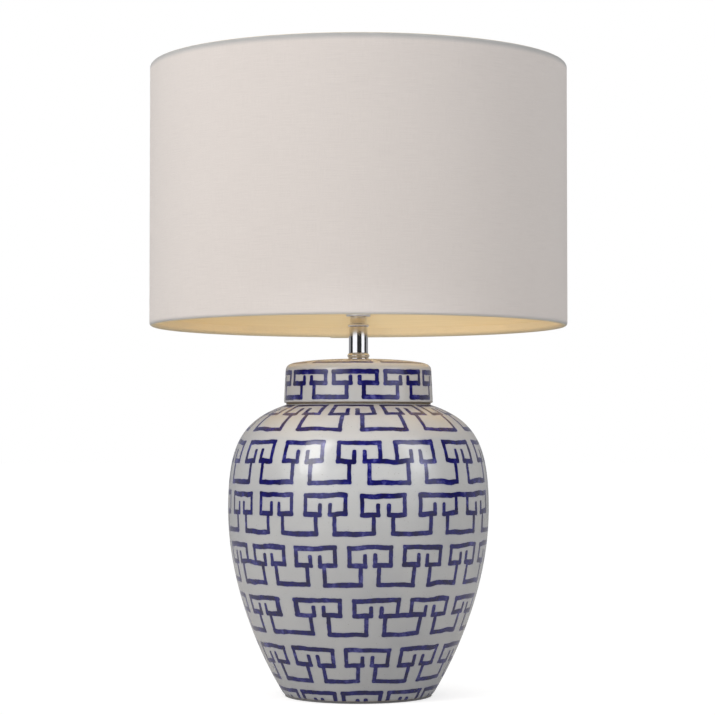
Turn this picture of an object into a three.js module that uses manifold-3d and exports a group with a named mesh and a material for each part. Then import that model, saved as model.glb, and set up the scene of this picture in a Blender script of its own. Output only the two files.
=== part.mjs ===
// A table lamp: a glazed stoneware ginger jar with a flat lid, clamped by a threaded tube that
// carries a chromed neck, a screw lamp holder, a candle bulb and a drum shade.
// Millimetres, +Z up. The origin is the middle of the foot, on the surface the lamp stands on.

import * as THREE from 'three';
import { mergeVertices } from 'three/addons/utils/BufferGeometryUtils.js';
import Module from 'manifold-3d';

// ---- driving dimensions -------------------------------------------------------------------

const GAP = 0.3; // left between pieces that touch
const SLACK = 0.4; // left round a thread or a sliding fit

const FOOT_R = 71.4; // jar, outside of the foot
const BELLY_R = 124.7; // jar, widest radius
const BELLY_Z = 177.4; // height of the widest radius
const COLLAR_R = 70.4; // where the shoulder ends, just inside the lid
const COLLAR_Z = 276.9;
const JAR_WALL = 6;
const FOOT_WALL = 6.4; // width of the foot's standing ring
const FLOOR_Z = 23; // underside of the jar's floor
const FLOOR_THICK = 7;
const MOUTH_R = 57; // bore of the jar's neck
const MOUTH_WALL = 6;
const MOUTH_TOP = 298;

const FELT_THICK = 1.5;
const SEAL_THICK = 1;

const LID_R = 71.3; // lid, at its lower edge
const LID_TOP_R = 69.9; // lid, where the upper edge starts to round
const LID_SIDE_TOP = 309.8;
const LID_CROWN_Z = 321; // flat seat for the neck
const LID_SEAT_R = 13;
const LID_WALL = 5.6;

const ROD_R = 5; // M10 x 1 threaded tube
const ROD_BORE_R = 3.5;
const ROD_BOTTOM = 8;
const ROD_TOP = 372;

const NECK_TUBE_R = 9.2;
const NECK_RING_R = 10.6;

const HOLDER_Z = 362; // underside of the lamp holder
const HOLDER_R = 19.75; // 40 mm shade-ring thread
const HOLDER_TOP = 418;
const SHADE_RING_R = 27;

const SHADE_R = 200; // drum shade, outside
const SHADE_BOTTOM = 351;
const SHADE_HEIGHT = 250;
const CLOTH = 0.6;
const LINER = 0.6;
const WIRE_R = 2; // rim wires
const ARM_R = 1.6; // spider wires
const HEM_TURN = 6; // how far the cloth runs back inside, past the wire

const BULB_R = 17.5;
const BULB_CAP_R = 13.1;
const BULB_TOP = 491;

const ROUND = 40; // sides of the jar, lid and shade
const SMALL = 20; // sides of the small turned pieces

// ---- finishes -----------------------------------------------------------------------------

function finish(color, roughness, metalness = 0) {
  return new THREE.MeshStandardMaterial({ color, roughness, metalness });
}

const FELT = finish(0x2b2b2e, 0.95);
const GLAZE = finish(0xd9dbe2, 0.12);
const CHROME = finish(0xc9ccd0, 0.08, 1);
const ZINC = finish(0xa7a9a6, 0.4, 1);
const BRASS = finish(0xb8923f, 0.35, 1);
const RUBBER = finish(0x1d1d1f, 0.8);
const CORK = finish(0xb08a5e, 0.9);
const PLASTIC = finish(0xe8e4dc, 0.35);
const PORCELAIN = finish(0xeeebe4, 0.3);
const LINEN = finish(0xd9d3cc, 0.95);
const LINER_FILM = finish(0xe9dcbc, 0.6);
const WHITE_WIRE = finish(0xe6e4de, 0.4);
const OPAL = finish(0xfff1d6, 0.3);

// ---- shape helpers ------------------------------------------------------------------------

// An outline of [radius, height] points turned about Z. The outline runs up the outside and
// down the inside. It closes on itself, unless it starts and ends on the axis.
function turned(outline, sides) {
  const points = outline.map(([radius, height]) => new THREE.Vector2(radius, height));
  if (points[0].x > 0) points.push(points[0].clone());
  return new THREE.LatheGeometry(points, sides).rotateX(Math.PI / 2);
}

// A plain ring or tube between two heights.
function ring(inner, outer, bottom, top, sides = SMALL) {
  return turned([[inner, bottom], [outer, bottom], [outer, top], [inner, top]], sides);
}

// Points along a cubic curve given by four [radius, height] points.
function curve(start, startPull, endPull, end, steps) {
  const points = [start, startPull, endPull, end].map((p) => new THREE.Vector2(...p));
  return new THREE.CubicBezierCurve(...points).getPoints(steps).map((p) => [p.x, p.y]);
}

// Points round part of a circle in the outline's plane, with angles in degrees.
function arc(radius, height, bend, from, to, steps) {
  const sweep = Array.from({ length: steps + 1 }, (_, i) => from + ((to - from) * i) / steps);
  return sweep.map((degrees) => {
    const angle = THREE.MathUtils.degToRad(degrees);
    return [radius + bend * Math.cos(angle), height + bend * Math.sin(angle)];
  });
}

// An outline moved sideways by a distance, to its left as it runs.
function offset(outline, distance) {
  return outline.map(([radius, height], i) => {
    const [r0, z0] = outline[Math.max(i - 1, 0)];
    const [r1, z1] = outline[Math.min(i + 1, outline.length - 1)];
    const length = Math.hypot(r1 - r0, z1 - z0);
    return [radius - (distance * (z1 - z0)) / length, height + (distance * (r1 - r0)) / length];
  });
}

// A round wire along a path of joined curves.
function wire(path, radius, steps) {
  const section = new THREE.Shape().absarc(0, 0, radius, 0, 2 * Math.PI, false);
  const options = { steps, curveSegments: 4, extrudePath: path, bevelEnabled: false };
  return new THREE.ExtrudeGeometry(section, options);
}

const wasm = await Module();
wasm.setup();

function solid(geometry) {
  const bare = geometry.clone();
  bare.deleteAttribute('normal');
  bare.deleteAttribute('uv');
  const merged = mergeVertices(bare, 1e-3);
  return new wasm.Manifold(new wasm.Mesh({
    numProp: 3,
    vertProperties: new Float32Array(merged.attributes.position.array),
    triVerts: new Uint32Array(merged.index.array),
  }));
}

function cut(body, ...tools) {
  const result = tools.reduce((left, tool) => left.subtract(solid(tool)), solid(body)).getMesh();
  const geometry = new THREE.BufferGeometry();
  geometry.setAttribute('position', new THREE.BufferAttribute(result.vertProperties, 3));
  geometry.setIndex(new THREE.BufferAttribute(result.triVerts, 1));
  return geometry;
}

function piece(name, geometry, material) {
  const mesh = new THREE.Mesh(geometry, material);
  mesh.name = name;
  return mesh;
}

// ---- jar ----------------------------------------------------------------------------------

const FOOT_Z = FELT_THICK + GAP;
const LEDGE_Z = COLLAR_Z + 0.7;

function bellyOutline() {
  const lower = curve([FOOT_R, FOOT_Z], [101, 45.7], [BELLY_R, 114.9], [BELLY_R, BELLY_Z], 8);
  const upper = curve(
    [BELLY_R, BELLY_Z], [BELLY_R, 234.9], [115, 261.8], [COLLAR_R, COLLAR_Z], 9);
  return [...lower, ...upper.slice(1)];
}

// The cord leaves at the back, square to the sloping wall of the foot.
const CORD_EXIT = { radius: 76.9, height: 10, slope: THREE.MathUtils.degToRad(28) };
const BUSHING_R = 5.2;

// Turns a piece made along +Z about its own origin to point out of the cord's exit.
function atCordExit(geometry) {
  return geometry
    .rotateX(-Math.PI / 2 - CORD_EXIT.slope)
    .translate(0, CORD_EXIT.radius, CORD_EXIT.height);
}

function jar() {
  const belly = bellyOutline();
  const floorTop = FLOOR_Z + FLOOR_THICK;
  const inside = offset(belly, JAR_WALL).filter(([, height]) => height > floorTop + JAR_WALL);
  const mouthR = MOUTH_R + MOUTH_WALL;
  const outline = [
    [ROD_R + SLACK, floorTop],
    [ROD_R + SLACK, FLOOR_Z],
    [FOOT_R - 1.4, FLOOR_Z],
    [FOOT_R - FOOT_WALL, FOOT_Z],
    ...belly,
    [COLLAR_R - 1, LEDGE_Z],
    [mouthR, LEDGE_Z],
    [mouthR, MOUTH_TOP - 1.5],
    [mouthR - 1.5, MOUTH_TOP],
    [MOUTH_R + 1.5, MOUTH_TOP],
    [MOUTH_R, MOUTH_TOP - 1.5],
    [MOUTH_R, COLLAR_Z - JAR_WALL],
    ...inside.reverse(),
    [inside.at(-1)[0] - 8, floorTop],
  ];
  const drill = atCordExit(ring(0, BUSHING_R + GAP, -18, 6));
  return cut(turned(outline, ROUND), drill);
}

function cordBushing() {
  const flangeFace = 0.5;
  const flange = 2;
  return atCordExit(turned([
    [3.5, -8],
    [BUSHING_R, -8],
    [BUSHING_R, flangeFace],
    [7, flangeFace],
    [7, flangeFace + 0.8],
    [5.6, flangeFace + flange],
    [3.8, flangeFace + flange],
    [3.5, flangeFace + flange - 0.3],
  ], SMALL));
}

// ---- fixings under the floor --------------------------------------------------------------

const WASHER_TOP = FLOOR_Z - GAP;
const WASHER_THICK = 1.5;
const PLATE_TOP = WASHER_TOP - WASHER_THICK - GAP;
const PLATE_THICK = 1.5;
const LOCK_TOP = PLATE_TOP - PLATE_THICK - GAP;
const LOCK_THICK = 1.2;
const NUT_TOP = LOCK_TOP - LOCK_THICK - GAP;
const NUT_THICK = 4;
const NUT_FLATS = 14; // across flats

function nut() {
  const corner = NUT_FLATS / Math.sqrt(3);
  const corners = Array.from({ length: 6 }, (_, i) => (i * Math.PI) / 3);
  const hexagon = new THREE.Shape(
    corners.map((angle) => new THREE.Vector2(corner * Math.cos(angle), corner * Math.sin(angle))));
  hexagon.holes.push(new THREE.Path().absarc(0, 0, ROD_R + SLACK, 0, 2 * Math.PI, true));
  const options = { depth: NUT_THICK, curveSegments: SMALL, bevelEnabled: false };
  return new THREE.ExtrudeGeometry(hexagon, options).translate(0, 0, NUT_TOP - NUT_THICK);
}

// ---- lid ----------------------------------------------------------------------------------

const SEAL_BOTTOM = LEDGE_Z + GAP;
const LID_BOTTOM = SEAL_BOTTOM + SEAL_THICK + GAP;
const LID_CEILING = LID_CROWN_Z - 10;

function lid() {
  const innerR = LID_R - LID_WALL;
  const edge = curve(
    [LID_TOP_R, LID_SIDE_TOP], [69.4, 314.2], [68, 316.1], [61.4, 317.5], 4);
  const crown = curve([61.4, 317.5], [48, 319.9], [30, 321], [LID_SEAT_R, LID_CROWN_Z], 3);
  return turned([
    [innerR, LID_BOTTOM + 0.6],
    [innerR + 0.6, LID_BOTTOM],
    [LID_R - 0.9, LID_BOTTOM],
    [LID_R, LID_BOTTOM + 0.9],
    ...edge,
    ...crown.slice(1),
    [ROD_R + SLACK, LID_CROWN_Z],
    [ROD_R + SLACK, LID_CEILING],
    [LID_SEAT_R, LID_CEILING],
    [56, LID_CEILING - 3],
    [innerR - 1, LID_CEILING - 8],
  ], ROUND);
}

// ---- neck ---------------------------------------------------------------------------------

const NECK_RING_BOTTOM = LID_CROWN_Z + GAP;
const NECK_RING_TOP = 326.9;
const TUBE_TOP = 351.6;
const TOP_RING_TOP = 356.1;

// A turned ring with its outer edges eased.
function easedRing(inner, outer, bottom, top, ease) {
  return turned([
    [inner, bottom],
    [outer - ease, bottom],
    [outer, bottom + ease],
    [outer, top - ease],
    [outer - ease, top],
    [inner, top],
  ], SMALL);
}

// ---- lamp holder --------------------------------------------------------------------------

function holderCap() {
  const top = HOLDER_Z + 16;
  return turned([
    [ROD_R + SLACK, HOLDER_Z],
    [11.5, HOLDER_Z],
    [13, HOLDER_Z + 1.6],
    [19.2, HOLDER_Z + 8],
    [20, HOLDER_Z + 10.5],
    [20, top],
    [18.4, top],
    [18.4, HOLDER_Z + 11],
    [17.4, HOLDER_Z + 9],
    [11.6, HOLDER_Z + 3],
    [ROD_R + SLACK, HOLDER_Z + 2.4],
  ], SMALL);
}

const SHELL_BOTTOM = HOLDER_Z + 16.4;

function holderShell() {
  const inner = 17.9;
  const lip = 15.2;
  return turned([
    [inner, SHELL_BOTTOM],
    [HOLDER_R, SHELL_BOTTOM],
    [HOLDER_R, HOLDER_TOP - 1],
    [HOLDER_R - 1, HOLDER_TOP],
    [lip, HOLDER_TOP],
    [lip, HOLDER_TOP - 1.5],
    [inner, HOLDER_TOP - 1.5],
  ], SMALL);
}

const CORE_BOTTOM = HOLDER_Z + 17;
const CORE_FLOOR = CORE_BOTTOM + 7;

function holderCore() {
  return turned([
    [2.5, CORE_BOTTOM],
    [17.5, CORE_BOTTOM],
    [17.5, HOLDER_TOP - 4],
    [14.4, HOLDER_TOP - 4],
    [14.4, CORE_FLOOR],
    [2.5, CORE_FLOOR],
  ], SMALL);
}

// A springy brass strip: a flat foot, a rise and a tongue under the bulb's contact.
function centreContact() {
  const thick = 0.5;
  const under = [[-9, 0], [-6, 0], [-3.4, 2.2], [3, 2.2]];
  const over = under.map(([x, z]) => [x, z + thick]).reverse();
  const side = new THREE.Shape([...under, ...over].map(([x, z]) => new THREE.Vector2(x, z)));
  const width = 5;
  return new THREE.ExtrudeGeometry(side, { depth: width, bevelEnabled: false })
    .rotateX(Math.PI / 2)
    .translate(0, width / 2, CORE_FLOOR + GAP);
}

function terminalScrew(x) {
  return ring(0, 2.4, CORE_BOTTOM - GAP - 4, CORE_BOTTOM - GAP, 12).translate(x, 0, 0);
}

// ---- shade --------------------------------------------------------------------------------

const RING_Z = HOLDER_Z + 21; // underside of the lower shade ring
const RING_TALL = 6;
const FITTER_Z = RING_Z + RING_TALL + GAP;
const FITTER_THICK = 2;
const FITTER_R = 30;
const UPPER_RING_Z = FITTER_Z + FITTER_THICK + GAP;
const RING_BORE = HOLDER_R + 0.35;

const SHADE_TOP = SHADE_BOTTOM + SHADE_HEIGHT;
const LINER_R = SHADE_R - CLOTH - GAP; // outside of the liner
const RIM_WIRE_AT = LINER_R - LINER - GAP - WIRE_R; // radius of the rim wires' middle
const HEM_BEND = SHADE_R - RIM_WIRE_AT; // the cloth bends round the rim wire
const LOWER_WIRE_Z = SHADE_BOTTOM + HEM_BEND;
const UPPER_WIRE_Z = SHADE_TOP - HEM_BEND;

function shadeCover() {
  const under = HEM_BEND - CLOTH;
  return turned([
    ...arc(RIM_WIRE_AT, LOWER_WIRE_Z, HEM_BEND, -180, 0, 4),
    ...arc(RIM_WIRE_AT, UPPER_WIRE_Z, HEM_BEND, 0, 180, 4),
    [RIM_WIRE_AT - HEM_BEND, UPPER_WIRE_Z - HEM_TURN],
    [RIM_WIRE_AT - under, UPPER_WIRE_Z - HEM_TURN],
    ...arc(RIM_WIRE_AT, UPPER_WIRE_Z, under, 180, 0, 4),
    ...arc(RIM_WIRE_AT, LOWER_WIRE_Z, under, 0, -180, 4),
    [RIM_WIRE_AT - under, LOWER_WIRE_Z + HEM_TURN],
    [RIM_WIRE_AT - HEM_BEND, LOWER_WIRE_Z + HEM_TURN],
  ], ROUND);
}

function rimWire(height) {
  return turned(arc(RIM_WIRE_AT, height, WIRE_R, 0, 300, 5), ROUND);
}

// A wire that runs out from the fitter ring and bends down to the lower rim wire.
function spiderArm(degrees) {
  const bend = 15;
  const height = FITTER_Z + FITTER_THICK / 2;
  const end = LOWER_WIRE_Z + WIRE_R + GAP;
  const start = new THREE.Vector3(FITTER_R + GAP, 0, height);
  const bendStart = new THREE.Vector3(RIM_WIRE_AT - bend, 0, height);
  const corner = new THREE.Vector3(RIM_WIRE_AT, 0, height);
  const bendEnd = new THREE.Vector3(RIM_WIRE_AT, 0, height - bend);
  const foot = new THREE.Vector3(RIM_WIRE_AT, 0, end);
  const path = new THREE.CurvePath();
  path.add(new THREE.LineCurve3(start, bendStart));
  path.add(new THREE.QuadraticBezierCurve3(bendStart, corner, bendEnd));
  path.add(new THREE.LineCurve3(bendEnd, foot));
  return wire(path, ARM_R, 20).rotateZ(THREE.MathUtils.degToRad(degrees));
}

// ---- bulb ---------------------------------------------------------------------------------

const BULB_CONTACT_Z = CORE_FLOOR + GAP + 2.7 + GAP;
const CONTACT_TALL = 1.5;
const INSULATOR_Z = BULB_CONTACT_Z + CONTACT_TALL + GAP;
const BULB_CAP_Z = INSULATOR_Z + 3.7;
const GLASS_Z = 416.3;

function bulbInsulator() {
  const top = BULB_CAP_Z - GAP;
  return turned([[2.5, INSULATOR_Z], [5, INSULATOR_Z], [11.5, top], [2.5, top]], SMALL);
}

function bulbGlass() {
  const wall = 1.2;
  const neck = curve([12.2, GLASS_Z], [12.6, GLASS_Z + 10], [BULB_R, 428], [BULB_R, 441], 4);
  const flame = curve([BULB_R, 441], [BULB_R, 462], [5, 484], [0.6, BULB_TOP - 0.2], 6);
  const outside = [...neck, ...flame.slice(1)];
  const inside = offset(outside, wall).filter(([radius]) => radius > 1);
  return turned(
    [[0, BULB_TOP - 2 * wall], ...inside.reverse(), ...outside, [0, BULB_TOP]], SMALL);
}

// ---- assembly -----------------------------------------------------------------------------

const base = new THREE.Group();
base.add(
  piece('foot_felt', ring(FOOT_R - 5.9, FOOT_R - 1.2, 0, FELT_THICK, ROUND), FELT),
  piece('jar', jar(), GLAZE),
  piece('cord_bushing', cordBushing(), RUBBER),
  piece('base_rubber_washer',
    ring(ROD_R + SLACK, 19, WASHER_TOP - WASHER_THICK, WASHER_TOP), RUBBER),
  piece('base_plate', ring(ROD_R + SLACK, 30, PLATE_TOP - PLATE_THICK, PLATE_TOP), ZINC),
  piece('base_lock_washer', ring(ROD_R + SLACK, 9, LOCK_TOP - LOCK_THICK, LOCK_TOP), ZINC),
  piece('base_nut', nut(), ZINC),
  piece('threaded_rod', ring(ROD_BORE_R, ROD_R, ROD_BOTTOM, ROD_TOP), ZINC),
  piece('lid_seal',
    ring(COLLAR_R - 5.9, COLLAR_R - 0.9, SEAL_BOTTOM, SEAL_BOTTOM + SEAL_THICK, ROUND), CORK),
  piece('lid', lid(), GLAZE),
  piece('neck_base_ring',
    easedRing(ROD_R + SLACK, NECK_RING_R, NECK_RING_BOTTOM, NECK_RING_TOP, 0.8), CHROME),
  piece('neck_tube',
    ring(NECK_TUBE_R - 1, NECK_TUBE_R, NECK_RING_TOP + GAP, TUBE_TOP), CHROME),
  piece('neck_top_ring',
    easedRing(ROD_R + SLACK, NECK_RING_R - 0.4, TUBE_TOP + GAP, TOP_RING_TOP, 0.8), CHROME),
  piece('neck_spacer', ring(ROD_R + SLACK, 8.1, TOP_RING_TOP + GAP, HOLDER_Z - GAP), CHROME),
  piece('holder_cap', holderCap(), CHROME),
  piece('holder_shell', holderShell(), PLASTIC),
  piece('holder_core', holderCore(), PORCELAIN),
  piece('screw_shell', ring(13.5, 14, HOLDER_TOP - 25, HOLDER_TOP - 6), BRASS),
  piece('centre_contact', centreContact(), BRASS),
  piece('terminal_screw_live', terminalScrew(9), BRASS),
  piece('terminal_screw_neutral', terminalScrew(-9), BRASS),
  piece('shade_ring_lower', easedRing(RING_BORE, SHADE_RING_R, RING_Z, RING_Z + RING_TALL, 1),
    PLASTIC),
);

const collar = new THREE.Group();
collar.add(
  piece('shade_ring_upper',
    easedRing(RING_BORE, SHADE_RING_R, UPPER_RING_Z, UPPER_RING_Z + RING_TALL + 1, 1), PLASTIC),
);

const shade = new THREE.Group();
shade.add(
  piece('fitter_ring', ring(RING_BORE + 0.9, FITTER_R, FITTER_Z, FITTER_Z + FITTER_THICK),
    WHITE_WIRE),
  piece('spider_arm_back', spiderArm(90), WHITE_WIRE),
  piece('spider_arm_left', spiderArm(210), WHITE_WIRE),
  piece('spider_arm_right', spiderArm(330), WHITE_WIRE),
  piece('lower_rim_wire', rimWire(LOWER_WIRE_Z), WHITE_WIRE),
  piece('upper_rim_wire', rimWire(UPPER_WIRE_Z), WHITE_WIRE),
  piece('shade_liner', ring(LINER_R - LINER, LINER_R, LOWER_WIRE_Z, UPPER_WIRE_Z, ROUND),
    LINER_FILM),
  piece('shade_cover', shadeCover(), LINEN),
);

const bulb = new THREE.Group();
bulb.add(
  piece('bulb_contact',
    turned([[0, BULB_CONTACT_Z], [3.6, BULB_CONTACT_Z], [4.8, BULB_CONTACT_Z + CONTACT_TALL],
      [0, BULB_CONTACT_Z + CONTACT_TALL]], SMALL), BRASS),
  piece('bulb_insulator', bulbInsulator(), RUBBER),
  piece('bulb_cap', ring(BULB_CAP_R - 0.5, BULB_CAP_R, BULB_CAP_Z, GLASS_Z - GAP), ZINC),
  piece('bulb_glass', bulbGlass(), OPAL),
);

const lamp = new THREE.Group();
lamp.add(base, collar, shade, bulb);

export default lamp;
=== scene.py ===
"""A glazed ginger-jar table lamp with a linen drum shade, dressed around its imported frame."""

from math import atan2, cos, degrees, hypot, pi, radians, sin, sqrt, tau

import bpy
from mathutils import Matrix, Vector


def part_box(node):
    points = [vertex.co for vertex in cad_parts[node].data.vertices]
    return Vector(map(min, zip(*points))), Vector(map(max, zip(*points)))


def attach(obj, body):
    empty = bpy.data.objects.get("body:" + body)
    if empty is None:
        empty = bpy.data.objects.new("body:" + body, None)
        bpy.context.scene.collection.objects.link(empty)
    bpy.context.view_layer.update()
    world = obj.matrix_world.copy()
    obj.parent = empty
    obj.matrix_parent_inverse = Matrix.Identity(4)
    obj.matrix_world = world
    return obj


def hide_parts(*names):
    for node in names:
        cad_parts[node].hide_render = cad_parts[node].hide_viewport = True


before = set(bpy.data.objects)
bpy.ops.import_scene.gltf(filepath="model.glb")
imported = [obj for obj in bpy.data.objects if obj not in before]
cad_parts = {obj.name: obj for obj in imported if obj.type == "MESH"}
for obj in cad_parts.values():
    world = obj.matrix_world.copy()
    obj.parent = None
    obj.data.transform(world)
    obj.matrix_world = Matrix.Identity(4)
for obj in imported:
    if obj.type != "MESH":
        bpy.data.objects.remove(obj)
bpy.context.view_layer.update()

MM = 0.001
ROUND = 160  # steps round the jar, lid and shade
SMALL = 64  # steps round the small turned pieces
SAME_PLACE = 2e-6  # points nearer than this, in metres, are one point
ROD_HOLE = 5.4  # radius of the hole that the threaded tube goes through, in millimetres


# ---- camera ----------------------------------------------------------------------------------

CAMERA_AWAY = 2.16  # metres in front of the lamp's axis
CAMERA_HEIGHT = 0.2548
CAMERA_SIDE = -0.0009
CAMERA_TILT = 1.8  # degrees upwards
LENS = 113.3
SENSOR = 36


def set_camera():
    turn = (radians(90 + CAMERA_TILT), 0, 0)
    bpy.ops.object.camera_add(location=(CAMERA_SIDE, -CAMERA_AWAY, CAMERA_HEIGHT), rotation=turn)
    camera = bpy.context.object
    camera.data.lens = LENS
    camera.data.sensor_width = SENSOR
    bpy.context.scene.camera = camera


# ---- shaping helpers --------------------------------------------------------------------------


def deselect():
    for obj in list(bpy.context.selected_objects):
        obj.select_set(False)


def activate(obj):
    deselect()
    obj.select_set(True)
    bpy.context.view_layer.objects.active = obj


def editing(on):
    bpy.ops.object.mode_set(mode="EDIT" if on else "OBJECT")


def named(name):
    """The object that an operator just made, given its name."""
    made = bpy.context.object
    made.name = made.data.name = name
    return made


def span(node):
    """(outer radius, bottom, top) of a turned CAD node, in millimetres."""
    low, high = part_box(node)
    return (high.x - low.x) / 2 / MM, low.z / MM, high.z / MM


def drawn_line(name, points):
    """An object that is one line through (radius, height) points in millimetres."""
    deselect()
    bpy.ops.mesh.primitive_circle_add(vertices=3, radius=MM)
    line = named(name)
    editing(True)
    bpy.ops.mesh.select_mode(type="VERT")
    bpy.ops.mesh.select_all(action="SELECT")
    bpy.ops.mesh.merge(type="CENTER")
    here = (0, 0)
    for number, point in enumerate(points):
        step = ((point[0] - here[0]) * MM, 0, (point[1] - here[1]) * MM)
        if number == 0:
            bpy.ops.transform.translate(value=step)
        else:
            bpy.ops.mesh.extrude_region_move(TRANSFORM_OT_translate={"value": step})
        here = point
    editing(False)
    return line


def measure_run(line):
    """Marks each point of a line with its distance along it, in metres, for patterns to follow."""
    run = line.data.attributes.new("run", "FLOAT", "POINT")
    places = [vertex.co.copy() for vertex in line.data.vertices]
    total = 0.0
    for number, place in enumerate(places):
        if number:
            total += (place - places[number - 1]).length
        run.data[number].value = total


def clean(obj):
    activate(obj)
    editing(True)
    bpy.ops.mesh.select_all(action="SELECT")
    bpy.ops.mesh.remove_doubles(threshold=SAME_PLACE)
    bpy.ops.mesh.normals_make_consistent(inside=False)
    editing(False)


def turned(name, outline, steps=SMALL):
    """A line of (radius, height) points spun round the lamp's axis. It closes on itself, unless it
    starts and ends on the axis."""
    closed = outline[0][0] > 0
    line = drawn_line(name, outline + outline[:1] if closed else outline)
    measure_run(line)
    editing(True)
    bpy.ops.mesh.select_all(action="SELECT")
    bpy.ops.mesh.spin(steps=steps, angle=tau, center=(0, 0, 0), axis=(0, 0, 1))
    editing(False)
    clean(line)
    return line


def apply(obj, modifier):
    activate(obj)
    bpy.ops.object.modifier_apply(modifier=modifier.name)


def ease(obj, width, segments=2, angle=35):
    """Rounds the edges that are sharper than the angle."""
    bevel = obj.modifiers.new("ease", "BEVEL")
    bevel.width = width * MM
    bevel.segments = segments
    bevel.limit_method = "ANGLE"
    bevel.angle_limit = radians(angle)
    apply(obj, bevel)
    return obj


def smooth(obj, angle=38):
    activate(obj)
    bpy.ops.object.shade_smooth_by_angle(angle=radians(angle))
    return obj


def join(name, pieces):
    activate(pieces[0])
    for piece in pieces:
        piece.select_set(True)
    bpy.ops.object.join()
    return named(name)


def curve(start, start_pull, end_pull, end, steps):
    """Points along a cubic curve given by four (radius, height) points."""
    points = []
    for number in range(steps + 1):
        t = number / steps
        weights = ((1 - t) ** 3, 3 * t * (1 - t) ** 2, 3 * t * t * (1 - t), t**3)
        corners = (start, start_pull, end_pull, end)
        points.append(tuple(sum(w * p[k] for w, p in zip(weights, corners)) for k in (0, 1)))
    return points


def arc(radius, height, bend, start, end, steps):
    """Points round part of a circle in the outline's plane, with angles in degrees."""
    angles = [radians(start + (end - start) * number / steps) for number in range(steps + 1)]
    return [(radius + bend * cos(angle), height + bend * sin(angle)) for angle in angles]


def offset(outline, distance):
    """The outline moved sideways, to its left as it runs."""
    moved = []
    last = len(outline) - 1
    for number, (radius, height) in enumerate(outline):
        r0, z0 = outline[max(number - 1, 0)]
        r1, z1 = outline[min(number + 1, last)]
        length = hypot(r1 - r0, z1 - z0)
        moved.append((radius - distance * (z1 - z0) / length, height + distance * (r1 - r0) / length))
    return moved


def ridges(radius, bottom, top, pitch, depth):
    """The outline of a screw thread between two heights, going up."""
    count = round((top - bottom) / pitch)
    pitch = (top - bottom) / count
    points = []
    for number in range(count):
        low = bottom + number * pitch
        points += [(radius - depth, low), (radius, low + 0.35 * pitch), (radius, low + 0.65 * pitch)]
    return points + [(radius - depth, top)]


def settle(obj, body, replaced, material):
    """Gives a finished piece its material and says which nodes it stands for."""
    obj.data.materials.clear()
    obj.data.materials.append(material)
    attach(obj, body)
    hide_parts(*replaced)


# ---- shader helpers ---------------------------------------------------------------------------


def add(tree, kind, *values, **settings):
    """A node with its settings made, and its inputs in order set to values or linked to sockets."""
    made = tree.nodes.new(kind)
    for key, value in settings.items():
        setattr(made, key, value)
    for socket, value in zip(made.inputs, values):
        put(tree, socket, value)
    return made


def put(tree, socket, value):
    if isinstance(value, bpy.types.NodeSocket):
        tree.links.new(value, socket)
    elif value is not None:
        socket.default_value = value


def calc(tree, operation, *values):
    return add(tree, "ShaderNodeMath", *values, operation=operation).outputs[0]


def mix_colour(tree, amount, first, second, mode="MIX"):
    made = tree.nodes.new("ShaderNodeMix")
    made.data_type = "RGBA"
    made.blend_type = mode
    for index, value in ((0, amount), (6, first), (7, second)):
        put(tree, made.inputs[index], value)
    return made.outputs[2]


def mix_value(tree, amount, first, second):
    return add(tree, "ShaderNodeMix", amount, None, first, second).outputs[0]


def spread(tree, value, low, high, new_low=0.0, new_high=1.0, kind="LINEAR"):
    made = add(tree, "ShaderNodeMapRange", value, low, high, new_low, new_high)
    made.interpolation_type = kind
    return made.outputs[0]


def noise(tree, place, scale, detail=2.0, rough=0.5):
    made = add(tree, "ShaderNodeTexNoise", place)
    made.inputs["Scale"].default_value = scale
    made.inputs["Detail"].default_value = detail
    made.inputs["Roughness"].default_value = rough
    return made.outputs[0]


def stretched(tree, place, scale):
    return add(tree, "ShaderNodeVectorMath", place, scale, operation="MULTIPLY").outputs[0]


def object_place(tree):
    return add(tree, "ShaderNodeTexCoord").outputs["Object"]


def attribute(tree, name):
    return add(tree, "ShaderNodeAttribute", attribute_name=name).outputs["Fac"]


def bump(tree, height, distance, normal=None):
    made = add(tree, "ShaderNodeBump")
    put(tree, made.inputs["Strength"], 1.0)
    put(tree, made.inputs["Distance"], distance)
    put(tree, made.inputs["Height"], height)
    put(tree, made.inputs["Normal"], normal)
    return made.outputs[0]


def new_group(name, inputs, outputs):
    """A shader node group with named inputs and outputs, as (tree, its inputs, its output node)."""
    tree = bpy.data.node_groups.new(name, "ShaderNodeTree")
    for label, kind in inputs:
        tree.interface.new_socket(label, in_out="INPUT", socket_type=f"NodeSocket{kind}")
    for label, kind in outputs:
        tree.interface.new_socket(label, in_out="OUTPUT", socket_type=f"NodeSocket{kind}")
    return tree, tree.nodes.new("NodeGroupInput").outputs, tree.nodes.new("NodeGroupOutput")


def use(tree, group, **values):
    """Places a group in a tree. An input's name is given with _ for each space."""
    made = tree.nodes.new("ShaderNodeGroup")
    made.node_tree = group
    for label, value in values.items():
        put(tree, made.inputs[label.replace("_", " ")], value)
    return made.outputs


def finish_of(name, **constants):
    """A material, its tree and its shader. A constant's name is a socket's, with _ for spaces."""
    material = bpy.data.materials.new(name)
    material.use_nodes = True
    tree = material.node_tree
    shader = tree.nodes["Principled BSDF"]
    for label, value in constants.items():
        shader.inputs[label.replace("_", " ")].default_value = value
    return material, tree, shader


def wire_up(tree, shader, **values):
    for label, value in values.items():
        put(tree, shader.inputs[label.replace("_", " ")], value)


# ---- shared effects ---------------------------------------------------------------------------


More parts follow.
